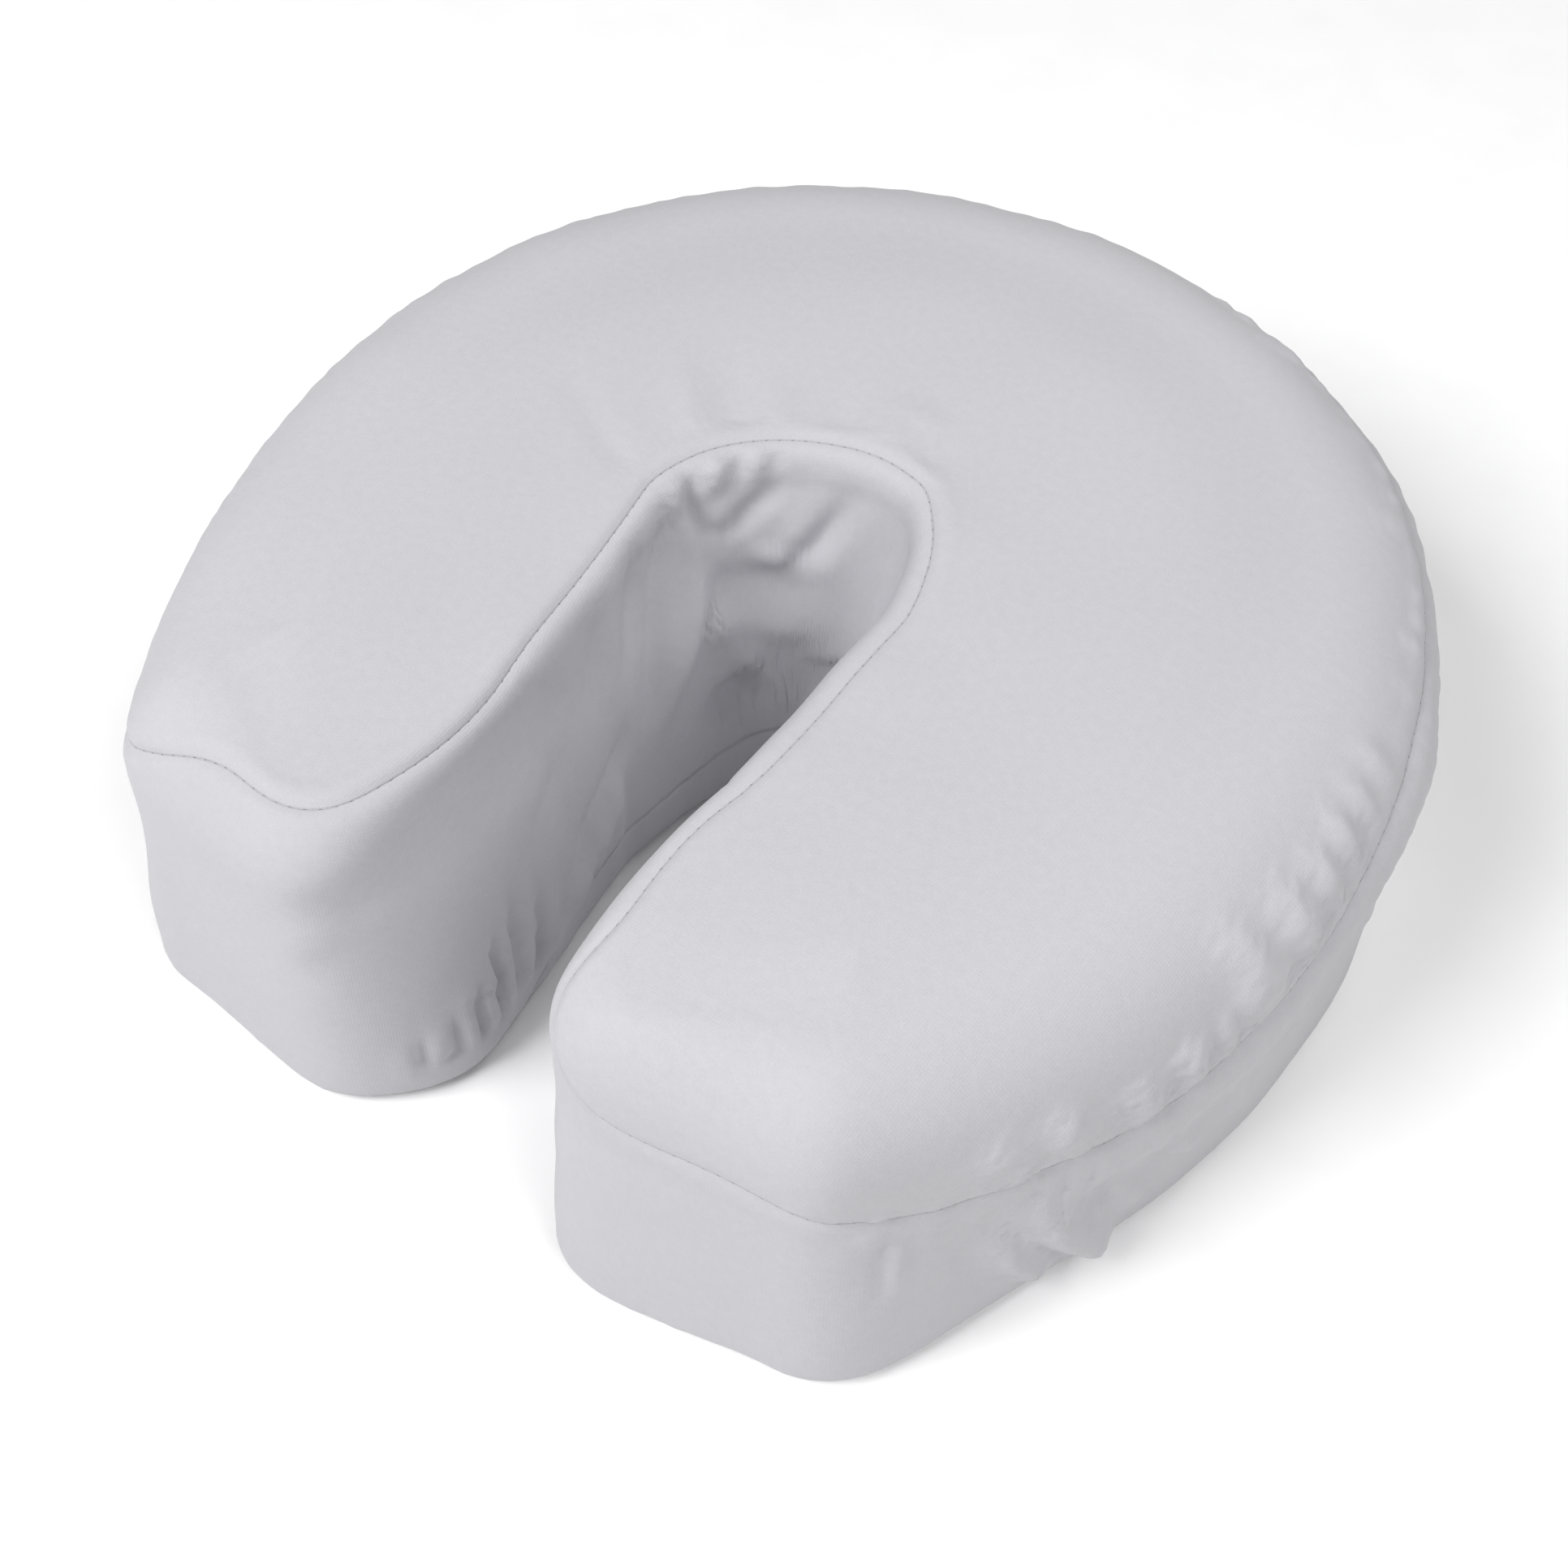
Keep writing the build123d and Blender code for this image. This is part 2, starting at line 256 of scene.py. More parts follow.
# How far below the start of the rounded edge the top seam runs, round the outline
seam_marks = (
    (outside(-0.37), 0.030),
    (outside(-0.33), 0.033),
    (outside(-0.10), 0.028),
    (outside(0.10), 0.028),
    (outside(0.20), 0.031),
    (outside(0.22), 0.037),
    (outside(0.24), 0.044),
    (outside(0.26), 0.052),
    (outside(0.30), 0.060),
    (outside(0.345), 0.055),
    (outside(0.38), 0.042),
    (inside(0.18), 0.036),
    (inside(0.173), 0.018),
    (inside(0.16), 0.004),
    (inside(0.10), 0.0015),
    (inside(0.05), 0.0015),
    (inside(0.02), 0.005),
    (inside(0.00), 0.004),
    (inside(-0.05), 0.003),
    (inside(-0.10), 0.004),
    (inside(-0.14), 0.006),
    (inside(-0.165), 0.006),
    (inside(-0.18), 0.004),
    (inside(-0.20), 0.009),
)

# How far the cover's foot stands out past the even outline, at the corners of the tips
foot_marks = (
    (outside(0.32), 0.0),
    (outside(0.345), 0.0035),
    (outside(0.363), 0.0065),
    (outside(0.385), 0.003),
    (inside(0.19), 0.006),
    (inside(0.175), 0.004),
    (inside(0.155), 0.0),
    (inside(-0.135), 0.0),
    (inside(-0.155), 0.004),
    (inside(-0.175), 0.002),
    (inside(-0.195), 0.002),
    (outside(-0.385), 0.003),
    (outside(-0.363), 0.0070),
    (outside(-0.34), 0.0050),
    (outside(-0.30), 0.0),
)


# How far the foot of the throat's walls stands out into the throat, past their top
lean_marks = (
    (inside(0.17), 0.0), (inside(0.12), 0.005), (inside(0.08), 0.007), (inside(0.05), 0.012),
    (inside(0.00), 0.017), (inside(-0.03), 0.021), (inside(-0.05), 0.020), (inside(-0.07), 0.012),
    (inside(-0.09), 0.006), (inside(-0.13), 0.009), (inside(-0.15), 0.010), (inside(-0.175), 0.0),
)


def spread(marks, smoothing):
    """A smooth value on every column, from its values at a few places along the outline."""
    places, values = zip(*marks)
    return smooth_ring(np.interp(along, places, values, period=along[-1]), smoothing)


seam_drops = spread(seam_marks, 30)
foot_lean = spread(lean_marks, 12)
foot_fullness = spread(foot_marks, 12)
seam_margin = 0.008  # the net is finer this near to the seam
throat_hem_lift = 0.016  # in the throat the hem's seam comes this far up the wall
cover_rings = (60, 12, 12, 46, 14)
seam_ring, hem_ring, last_ring = sum(cover_rings[:2]), sum(cover_rings[:4]), sum(cover_rings)


def cover_stops(i, edge, end):
    """The spine, the seam with a margin either side, the hem's seam and the hem's edge."""
    outside_hem = end - under_reach + foot_round
    hem = outside_hem - throat_hem_lift * ease(in_throat[i], 0.75, 1.0)
    seam = edge + seam_drops[i]
    return [0, seam - seam_margin, seam, seam + seam_margin, hem, end]


def run_down(points):
    """The length from the spine to each point of a net, down its column."""
    steps = np.linalg.norm(np.diff(points, axis=1), axis=2)
    return np.concatenate([np.zeros((len(points), 1)), steps.cumsum(axis=1)], axis=1)


cover_base = net(
    cover_stops, cover_rings, 0.0, 0.0, cover_top, foot_lean, foot_fullness
)


# ---------------------------------------------------------------- folds, gathers and creases

random = np.random.default_rng(11)
depths = run_down(cover_base)
depths -= depths[:, seam_ring, None].copy()  # metres below the seam; less than 0 is above it
lift = np.zeros(cover_base.shape[:2])  # how far each point of the cover moves out
droop = np.zeros(cover_base.shape[:2])  # and how far it sags


def directions(points):
    """The way out of the cloth at each point of a net."""
    ahead = np.roll(points, -1, 0) - np.roll(points, 1, 0)
    out = np.cross(ahead, np.gradient(points, axis=1))
    out /= np.maximum(np.linalg.norm(out, axis=2), 1e-9)[..., None]
    out[:, 0] = (0, 0, 1)  # on the spine, where columns meet
    return out


def on_net(place, depth):
    """The point of the cloth at a place along the outline and a depth below the seam."""
    i = int(round(np.interp(place % along[-1], along, columns)))
    return np.array([np.interp(depth, depths[i], cover_base[i, :, k]) for k in range(3)])


def fold(marks, height, width, start=0.45, end=0.6, sag=0.0, steps=28):
    """A soft ridge, or a valley if height is negative, along a smooth line of (place, depth) marks.
    start and end are the parts of its length over which it rises and dies away, and sag is how
    far the cloth hangs on it, as a part of its height."""
    marks = np.array(marks, dtype=float)
    t = np.linspace(0, len(marks) - 1, steps)
    line = np.stack([np.interp(t, np.arange(len(marks)), marks[:, k]) for k in (0, 1)], axis=1)
    for _ in range(3 if len(marks) > 2 else 0):  # takes the corners off the line
        line[1:-1] = (line[:-2] + 2 * line[1:-1] + line[2:]) / 4
    path = np.array([on_net(*mark) for mark in line])
    low, high = path.min(0) - 3 * width, path.max(0) + 3 * width
    near = np.all((cover_base > low) & (cover_base < high), axis=2)
    gaps = np.linalg.norm(cover_base[near][:, None] - path[None], axis=2)
    nearest = gaps.argmin(axis=1)
    run = nearest / (steps - 1)
    size = ease(run, -0.02, start) * (1 - ease(run, 1 - end, 1.02))
    rise = height * size * np.exp(-((gaps.min(axis=1) / width) ** 2))
    lift[near] += rise
    droop[near] += sag * rise


def crease(marks, depth, width, start=0.45, end=0.55):
    """A narrow valley with a soft ridge along each side of it."""
    fold(marks, 1.1 * depth, 2.8 * width, start, end)
    fold(marks, -2.0 * depth, 1.2 * width, start, end)


def gathers(first, last, pitch, above, below, height, slant=0.0):
    """Small ridges across the seam, from one place along the outline to another. above and below
    are the least and most lengths to which they run up and down from the seam."""
    place = first
    while place < last:
        size = height * ease(place, first, first + 0.02) * ease(-place, -last, 0.02 - last)
        size *= random.uniform(0.45, 1.25)
        width = pitch * random.uniform(0.24, 0.36)
        up, down = random.uniform(*above), random.uniform(*below)
        lean = slant + random.uniform(-0.25, 0.25)
        fold([(place - lean * up, -up), (place, -0.0006)], size, width, 0.6, 0.42)
        if below[1] > 0:
            shift = place + pitch * random.uniform(-0.2, 0.2)
            fold([(shift, 0.0010), (shift + lean * down, down)], 0.8 * size, width, 0.35, 0.7)
        place += pitch * random.uniform(0.65, 1.35)


def ripple(points, wave, height, seed):
    """Slow waves over the cloth, the sum of a few plane waves."""
    draw = np.random.default_rng(seed)
    total = 0
    for _ in range(7):
        way = draw.normal(size=3)
        way /= np.linalg.norm(way) * wave * draw.uniform(0.7, 1.5)
        total = total + np.sin(2 * pi * (points @ way) + draw.uniform(0, 2 * pi))
    return height * total / 7 ** 0.5


# The outer side: the right arm is gathered hard along the seam, the rest of it mildly
flank = (  # where each ridge starts, how far above the seam, where it meets it, height, width
    (0.343, 0.018, 0.327, 0.0028, 0.0053), (0.327, 0.020, 0.314, 0.0035, 0.0042),
    (0.307, 0.018, 0.299, 0.0034, 0.0042), (0.293, 0.020, 0.288, 0.0034, 0.0036),
    (0.282, 0.018, 0.279, 0.0021, 0.0027), (0.277, 0.022, 0.271, 0.0021, 0.0027),
    (0.277, 0.036, 0.264, 0.0029, 0.0046), (0.259, 0.030, 0.253, 0.0029, 0.0046),
    (0.246, 0.026, 0.242, 0.0022, 0.0036), (0.235, 0.024, 0.233, 0.0021, 0.0034),
    (0.224, 0.022, 0.223, 0.0015, 0.0034), (0.213, 0.020, 0.213, 0.0013, 0.0036),
)
for start_place, rise, seam_place, height, width in flank:
    marks = [(outside(start_place), -rise), (outside(seam_place), -0.0005)]
    fold(marks, height, width, 0.5, 0.42)
for place in (0.335, 0.3185, 0.3045, 0.2925, 0.2835, 0.2740, 0.2585, 0.2480, 0.2385, 0.2290):
    marks = [(outside(place + 0.004), -0.014), (outside(place - 0.002), -0.001)]
    fold(marks, -0.0014, 0.0038, 0.5, 0.5)  # the hollows between them
roll = [(outside(0.17), 0.009), (outside(0.24), 0.009), (outside(0.33), 0.009)]
fold(roll, 0.0030, 0.0085, 0.25, 0.12)  # the band bulges just below the seam
gathers(outside(0.325), outside(0.385), 0.0090, (0.002, 0.006), (0.008, 0.026), 0.0009, 0.05)
gathers(outside(0.02), outside(0.205), 0.0105, (0.006, 0.016), (0.006, 0.020), 0.0008)
gathers(outside(-0.33), outside(0.01), 0.0100, (0.005, 0.014), (0.006, 0.020), 0.0004)
gathers(outside(-0.40), outside(-0.33), 0.0110, (0.002, 0.005), (0.004, 0.012), 0.0004)
fold([(outside(0.21), -0.011), (outside(0.26), -0.012), (outside(0.32), -0.010)], 0.0008, 0.010)

# Loose folds of the band below the seam of the right arm, and a faint hollow beside each
loose = (  # where each starts, how deep, where it ends, how deep, height, width
    (0.331, 0.006, 0.302, 0.047, 0.0044, 0.0062),
    (0.338, 0.010, 0.319, 0.048, 0.0028, 0.0050),
    (0.309, 0.014, 0.293, 0.040, 0.0017, 0.0045),
    (0.294, 0.012, 0.279, 0.034, 0.0015, 0.0042),
    (0.276, 0.012, 0.262, 0.040, 0.0013, 0.0045),
    (0.252, 0.012, 0.241, 0.036, 0.0010, 0.0050),
    (0.226, 0.012, 0.214, 0.042, 0.0008, 0.0055),
    (0.198, 0.012, 0.186, 0.046, 0.0009, 0.0055),
    (0.168, 0.012, 0.158, 0.048, 0.0008, 0.0060),
    (0.140, 0.012, 0.132, 0.046, 0.0006, 0.0060),
)
for top_place, top_depth, low_place, low_depth, height, width in loose:
    bend = (top_place + low_place) / 2 + 0.002, (top_depth + low_depth) / 2
    marks = (top_place, top_depth), bend, (low_place, low_depth)
    marks = [(outside(place), depth) for place, depth in marks]
    fold(marks, 1.5 * height, 0.85 * width, 0.5, 0.25, sag=0.35)
    fold([(a + 1.6 * width, d) for a, d in marks], -0.35 * height, 0.8 * width, 0.5, 0.4)
place = -0.32
while place < 0.12:  # milder ones round the crown and the left arm
    top_depth, low_depth = random.uniform(0.006, 0.014), random.uniform(0.034, 0.052)
    drift = random.uniform(-0.012, 0.012)
    width = random.uniform(0.0045, 0.0065)
    marks = [(outside(place), top_depth), (outside(place + drift), low_depth)]
    fold(marks, random.uniform(0.0006, 0.0017), width, 0.5, 0.3, sag=0.2)
    place += random.uniform(0.018, 0.030)

# The tips: pleats under the seam, and the soft dents of their faces
fold([(outside(0.357), 0.004), (outside(0.3575), 0.030)], 0.0012, 0.0016, 0.3, 0.7)
fold([(outside(0.3605), 0.004), (outside(0.361), 0.034)], -0.0012, 0.0018, 0.3, 0.7)
dent = [(inside(-0.186), 0.020), (inside(-0.170), 0.026), (inside(-0.158), 0.022)]
fold(dent, -0.0016, 0.006, 0.4, 0.6)
fold([(inside(-0.192), 0.036), (inside(-0.174), 0.040)], 0.0010, 0.008, 0.4, 0.6)

# The throat: height, width, the parts over which it rises and dies away, and marks of each fold,
# given as metres to the right of the middle of the round end, and depth
left_wall = (
    (-0.0014, 0.0055, 0.45, 0.6, (-0.104, 0.006), (-0.108, 0.026), (-0.112, 0.056)),
    (-0.0018, 0.0052, 0.45, 0.6, (-0.086, 0.003), (-0.092, 0.024), (-0.098, 0.056)),
    (0.0012, 0.0050, 0.45, 0.6, (-0.075, 0.003), (-0.082, 0.024), (-0.092, 0.056)),
    (-0.0028, 0.0050, 0.45, 0.6, (-0.064, 0.002), (-0.074, 0.022), (-0.088, 0.058)),
    (-0.0032, 0.0044, 0.3, 0.5,
     (-0.050, 0.004), (-0.062, 0.022), (-0.072, 0.046), (-0.088, 0.070)),
    (0.0032, 0.0050, 0.4, 0.5,
     (-0.044, 0.012), (-0.050, 0.036), (-0.064, 0.050), (-0.084, 0.068)),
    (0.0026, 0.0042, 0.7, 0.2, (-0.089, 0.052), (-0.098, 0.080)),
    (0.0020, 0.0042, 0.7, 0.2, (-0.099, 0.052), (-0.107, 0.080)),
    (0.0024, 0.0042, 0.7, 0.2, (-0.110, 0.052), (-0.117, 0.080)),
    (0.0018, 0.0042, 0.7, 0.2, (-0.122, 0.052), (-0.127, 0.080)),
)
to_left_mouth = (  # two long folds and a short one
    (-0.0030, 0.0034, 0.4, 0.4,
     (-0.080, 0.044), (-0.090, 0.057), (-0.106, 0.063), (-0.124, 0.074)),
    (0.0030, 0.0034, 0.3, 0.3,
     (-0.084, 0.055), (-0.100, 0.066), (-0.116, 0.072), (-0.130, 0.084)),
    (-0.0016, 0.0050, 0.5, 0.5, (-0.100, 0.028), (-0.114, 0.042), (-0.126, 0.052)),
)
left_mouth = (  # creases that the elastic pulls up
    (0.0018, 0.0017, 0.7, 0.15, (-0.132, 0.042), (-0.139, 0.084)),
    (0.0030, 0.0017, 0.7, 0.15, (-0.140, 0.052), (-0.145, 0.084)),
    (0.0024, 0.0017, 0.7, 0.15, (-0.147, 0.060), (-0.150, 0.084)),
    (0.0020, 0.0017, 0.7, 0.15, (-0.155, 0.066), (-0.156, 0.084)),
    (0.0016, 0.0017, 0.7, 0.15, (-0.124, 0.050), (-0.131, 0.084)),
    (0.0014, 0.0017, 0.7, 0.15, (-0.164, 0.070), (-0.162, 0.084)),
)
end_creases = (
    (0.0016, 0.0024, 0.35, 0.3,
     (-0.042, 0.001), (-0.045, 0.010), (-0.043, 0.018), (-0.040, 0.024)),
    (0.0015, 0.0026, 0.6, 0.25, (-0.018, 0.010), (-0.028, 0.016), (-0.040, 0.024)),
    (0.0019, 0.0032, 0.6, 0.35,
     (-0.001, 0.006), (-0.007, 0.018), (-0.013, 0.028), (-0.022, 0.036)),
)
end_wall = (  # small pleats under the seam, and facets between the creases
    (0.0012, 0.0026, 0.5, 0.6, (-0.036, 0.001), (-0.038, 0.012)),
    (-0.0010, 0.0024, 0.5, 0.6, (-0.030, 0.001), (-0.033, 0.012)),
    (0.0010, 0.0024, 0.5, 0.6, (-0.026, 0.001), (-0.028, 0.011)),
    (-0.0006, 0.0022, 0.5, 0.6, (-0.021, 0.001), (-0.023, 0.010)),
    (0.0018, 0.0030, 0.5, 0.4, (-0.034, 0.027), (-0.026, 0.031), (-0.019, 0.034)),
    (-0.0030, 0.0060, 0.4, 0.4, (-0.050, 0.034), (-0.034, 0.038), (-0.012, 0.044)),
    (0.0030, 0.0050, 0.15, 0.4, (-0.050, 0.040), (-0.030, 0.049), (-0.006, 0.056)),
    (0.0030, 0.0050, 0.15, 0.4, (-0.050, 0.041), (-0.034, 0.062), (-0.018, 0.078)),
    (-0.0040, 0.0100, 0.4, 0.4, (-0.044, 0.060), (-0.038, 0.078)),
    (-0.0030, 0.0070, 0.4, 0.5, (-0.006, 0.058), (-0.002, 0.076)),
)
for shape, table in (
    (fold, left_wall), (fold, to_left_mouth), (crease, left_mouth),
    (crease, end_creases), (fold, end_wall),
):
    for height, width, start, end, *marks in table:
        shape([(inside(place), depth) for place, depth in marks], height, width, start, end)

# The top: faint drag lines where the crown's cloth is pulled into the throat's seam
for first_place, first_depth, last_place, last_depth, height in (
    (-0.036, -0.004, -0.026, -0.040, 0.0010), (-0.028, -0.003, -0.021, -0.034, -0.0009),
    (-0.020, -0.003, -0.016, -0.026, 0.0008), (-0.052, -0.003, -0.040, -0.050, -0.0008),
    (-0.010, -0.003, -0.008, -0.022, -0.0006), (-0.001, -0.004, -0.003, -0.022, 0.0008),
    (0.004, -0.016, -0.006, -0.018, 0.0008), (0.006, -0.003, 0.007, -0.018, -0.0007),
):
    marks = [(inside(first_place), first_depth), (inside(last_place), last_depth)]
    fold(marks, 0.6 * height, 0.0042, 0.2, 0.7)

# Pleats all along the hem, small on the wall and deeper under the cushion
place = 0.0
while place < along[-1]:
    depth = depths[int(np.interp(place, along, columns)), hem_ring]
    rise = random.uniform(0.004, 0.011)
    bend = place + random.uniform(-0.001, 0.001), depth + 0.004
    marks = [(place, depth - rise), bend, (place, depth + 0.02)]
    softer = 1 - 0.8 * np.interp(place, along, in_throat)  # in the throat they hardly show
    fold(marks, random.uniform(0.0006, 0.0014) * softer, 0.0018, 0.6, 0.1)
    place += random.uniform(0.006, 0.0095)

# The seam pulls the cloth in to a narrow groove between two soft lips
groove = 0.00065 * np.exp(-((depths / 0.0013) ** 2))
lift += 0.00020 * np.exp(-(((np.abs(depths) - 0.0042) / 0.0022) ** 2))
wall_share = ease(depths, -0.04, 0.01)
waves = ripple(cover_base, 0.055, 0.00032, 5)
lift += waves * (0.35 + 0.65 * wall_share)
lift += ripple(cover_base, 0.021, 0.00014, 6) * wall_share
lift[:, 0] = 0.35 * waves[:, 0]  # on the spine, where both sides have to meet


def moved(points):
    """The cover's net with its folds, kept above the floor and off the cushion."""
    # In the throat the cover stands off the cushion below the seam, and leaves valleys more room
    room = 0.0016 * (in_throat > 0.9) + 0.4 * foot_lean
    deepest = -0.0007 - room[:, None] * ease(depths, 0.002, 0.030)
    shift = (np.maximum(lift, deepest) - groove)[..., None] * directions(points)
    shift[..., 2] -= droop
    result = points + shift
    result[..., 2] = np.maximum(result[..., 2], points[..., 2].clip(0, 0.0005))
    return result


cover_points = moved(cover_base)

# ---------------------------------------------------------------- the cushion's seams

cushion_rings = (44, 36, 8)
cushion_seam, cushion_foot = cushion_rings[0], sum(cushion_rings[:2])
skin_seam_drop = 0.030  # its top seam, below the start of the rounded edge
skin_clearance, skin_inset = 0.0003, 0.0004  # drawn in from the wall, and from its own surface
# How deep and how wide the stitches draw a seam in. The top seam ends up 0.6 mm inside the foam's
# face, so a strip of foam shows along it when the cover is off.
seam_pull, seam_width = 0.0011, 0.0025
floor_rings = 30


def cushion_stops(i, edge, end):
    """The spine, the top seam, the bottom seam and the edge of the underside."""
    seam = edge + skin_seam_drop * (1 - 0.6 * throat_share[i])
    return [0, seam, end - under_reach + 0.001, end]


cushion_points = net(
    cushion_stops, cushion_rings, skin_depth + skin_clearance, skin_floor, skin_top,
    np.zeros(n_columns),
)
cushion_depths = run_down(cushion_points)
pull = sum(
    np.exp(-(((cushion_depths - cushion_depths[:, ring, None]) / seam_width) ** 2))
    for ring in (cushion_seam, cushion_foot)
)
cushion_points -= (seam_pull * pull + skin_inset)[..., None] * directions(cushion_points)
cushion_points[..., 2] = cushion_points[..., 2].clip(skin_floor, None)
share = np.linspace(0, 1, floor_rings + 1)[None, :, None]
under_points = cushion_points[:, -1:] * (1 - share) + np.pad(feet, ((0, 0), (0, 1)))[:, None] * share
under_points[..., 2] = skin_floor

# ---------------------------------------------------------------- materials


class Shader:
    """A procedural material: its nodes, and a short way to add and join them."""

    def __init__(self, name):
        self.material = bpy.data.materials.new(name)
        self.material.use_nodes = True
        self.tree = self.material.node_tree
        self.surface = self.tree.nodes["Principled BSDF"]
        place = self.add("ShaderNodeTexCoord")
        self.place = place.outputs["Object"]
        self.chart = place.outputs["UV"]

    def add(self, kind, **settings):
        node = self.tree.nodes.new(kind)
        for name, value in settings.items():
            setattr(node, name, value)
        return node

    def join(self, source, target):
        self.tree.links.new(source, target)

    def noise(self, scale, detail=3.0, roughness=0.55, flat=False):
        node = self.add("ShaderNodeTexNoise")
        node.inputs["Scale"].default_value = scale
        node.inputs["Detail"].default_value = detail
        node.inputs["Roughness"].default_value = roughness
        self.join(self.chart if flat else self.place, node.inputs["Vector"])
        return node.outputs["Fac"]

    def cells(self, scale, feature="F1"):
        node = self.add("ShaderNodeTexVoronoi", feature=feature)
        node.inputs["Scale"].default_value = scale
        self.join(self.place, node.inputs["Vector"])
        return node.outputs["Distance"]

    def ribs(self, per_metre, direction):
        """Even ribs on the flat cloth. At scale 1 the node's bands are pi / 10 of a unit apart."""
        node = self.add("ShaderNodeTexWave", bands_direction=direction)
        node.inputs["Scale"].default_value = per_metre * 0.314159
        node.inputs["Distortion"].default_value = 0.0
        self.join(self.chart, node.inputs["Vector"])
        return node.outputs["Fac"]

    def math(self, operation, first, second):
        node = self.add("ShaderNodeMath", operation=operation)
        for socket, value in zip(node.inputs, (first, second)):
            if isinstance(value, (int, float)):
                socket.default_value = value
            else:
                self.join(value, socket)
        return node.outputs[0]

    def spread(self, value, low, high, target, from_low=0.3, from_high=0.7):
        """Send a value to a socket, stretched to run from low to high."""
        node = self.add("ShaderNodeMapRange")
        limits = {"From Min": from_low, "From Max": from_high, "To Min": low, "To Max": high}
        for name, number in limits.items():
            node.inputs[name].default_value = number
        self.join(value, node.inputs["Value"])
        self.join(node.outputs[0], target)

    def tint(self, value, dark, light):
        """Colour the surface between two colours by a value."""
        node = self.add("ShaderNodeValToRGB")
        for element, position, colour in zip(node.color_ramp.elements, (0.3, 0.7), (dark, light)):
            element.position, element.color = position, (*colour, 1)
        self.join(value, node.inputs["Fac"])
        self.join(node.outputs["Color"], self.surface.inputs["Base Color"])

    def bump(self, *layers):
        """Relief from layers of (height, metres, strength), the coarsest first."""
        normal = None
        for height, depth, strength in layers:
            node = self.add("ShaderNodeBump")
            node.inputs["Distance"].default_value = depth
            node.inputs["Strength"].default_value = strength
            self.join(height, node.inputs["Height"])
            if normal:
                self.join(normal, node.inputs["Normal"])
            normal = node.outputs["Normal"]
        self.join(normal, self.surface.inputs["Normal"])

    def gloss(self, sheen=0.0, sheen_roughness=0.5, specular=0.5):
        self.surface.inputs["Sheen Weight"].default_value = sheen
        self.surface.inputs["Sheen Roughness"].default_value = sheen_roughness
        self.surface.inputs["Specular IOR Level"].default_value = specular


def cloth_material():
    """Brushed fine plain weave: threads, slubs and a soft nap."""
    cloth = Shader("cover_cloth")
    weave = cloth.math("MULTIPLY", cloth.ribs(1500, "X"), cloth.ribs(1500, "Y"))
    patchy = cloth.noise(9, 2)
    slub = cloth.noise(420, 2, flat=True)
    fleck = cloth.noise(1700, 2, flat=True)
    shade = cloth.math("MULTIPLY", patchy, 0.35)
    shade = cloth.math("ADD", shade, cloth.math("MULTIPLY", slub, 0.30))
    shade = cloth.math("ADD", shade, cloth.math("MULTIPLY", fleck, 0.35))
    cloth.tint(shade, (0.460, 0.455, 0.480), (0.520, 0.515, 0.540))
    cloth.spread(slub, 0.78, 0.90, cloth.surface.inputs["Roughness"])
    cloth.bump(
        (patchy, 0.0015, 0.12), (slub, 0.0002, 0.25), (weave, 0.0001, 0.30), (fleck, 0.0001, 0.30)
    )
    cloth.gloss(0.12, 0.45, 0.25)
    return cloth.material


def thread_material(name, dark, light):
    """Spun thread, with its twist across each stitch."""
    thread = Shader(name)
    fibres = thread.noise(2600, 3)
    thread.tint(fibres, dark, light)
    thread.spread(fibres, 0.55, 0.75, thread.surface.inputs["Roughness"])
    thread.bump((fibres, 0.0001, 0.6))
    thread.gloss(0.2)
    return thread.material


def vinyl_material():
    """Soft upholstery vinyl: pebbled grain, finely creased between the pebbles."""
    vinyl = Shader("upholstery")
    pebbles = vinyl.cells(620, "SMOOTH_F1")
    fine = vinyl.noise(1500, 4)
    patchy = vinyl.noise(14, 3)
    vinyl.tint(patchy, (0.030, 0.031, 0.035), (0.046, 0.047, 0.052))
    vinyl.spread(fine, 0.36, 0.52, vinyl.surface.inputs["Roughness"])
    vinyl.bump((patchy, 0.002, 0.15), (pebbles, 0.0003, 0.45), (fine, 0.00008, 0.35))
    vinyl.gloss(0.0, 0.5, 0.45)
    return vinyl.material


def foam_material(name, dark, light, pores):
    """Open-cell foam, cut with a blade."""
    foam = Shader(name)
    cells, large = foam.cells(pores), foam.noise(35, 4)
    foam.tint(large, dark, light)
    foam.spread(cells, 0.85, 0.98, foam.surface.inputs["Roughness"], 0.0, 0.6)
    foam.bump((large, 0.001, 0.2), (cells, 0.0004, 0.7))
    foam.gloss(0.1)
    return foam.material


def pile_material():
    """Brushed loop pile: a dense tangle of small loops."""
    pile = Shader("loop_pile")
    loops, tangle = pile.cells(1300), pile.noise(700, 5, 0.75)
    pile.tint(tangle, (0.018, 0.018, 0.020), (0.060, 0.060, 0.066))
    pile.spread(tangle, 0.80, 0.98, pile.surface.inputs["Roughness"])
    pile.bump((tangle, 0.0010, 0.9), (loops, 0.0005, 0.8))
    pile.gloss(0.5, 0.6)
    return pile.material


def elastic_material():
    """Knitted elastic: ribs along it, crossed by the knit."""
    elastic = Shader("elastic")
    ribs = elastic.math("MAXIMUM", elastic.ribs(900, "Y"), elastic.ribs(1400, "X"))
    knit = elastic.noise(1200, 3)
    elastic.tint(knit, (0.62, 0.62, 0.62), (0.78, 0.78, 0.77))
    elastic.spread(knit, 0.65, 0.85, elastic.surface.inputs["Roughness"])
    elastic.bump((ribs, 0.0002, 0.7), (knit, 0.0001, 0.4))
    elastic.gloss(0.1)
    return elastic.material


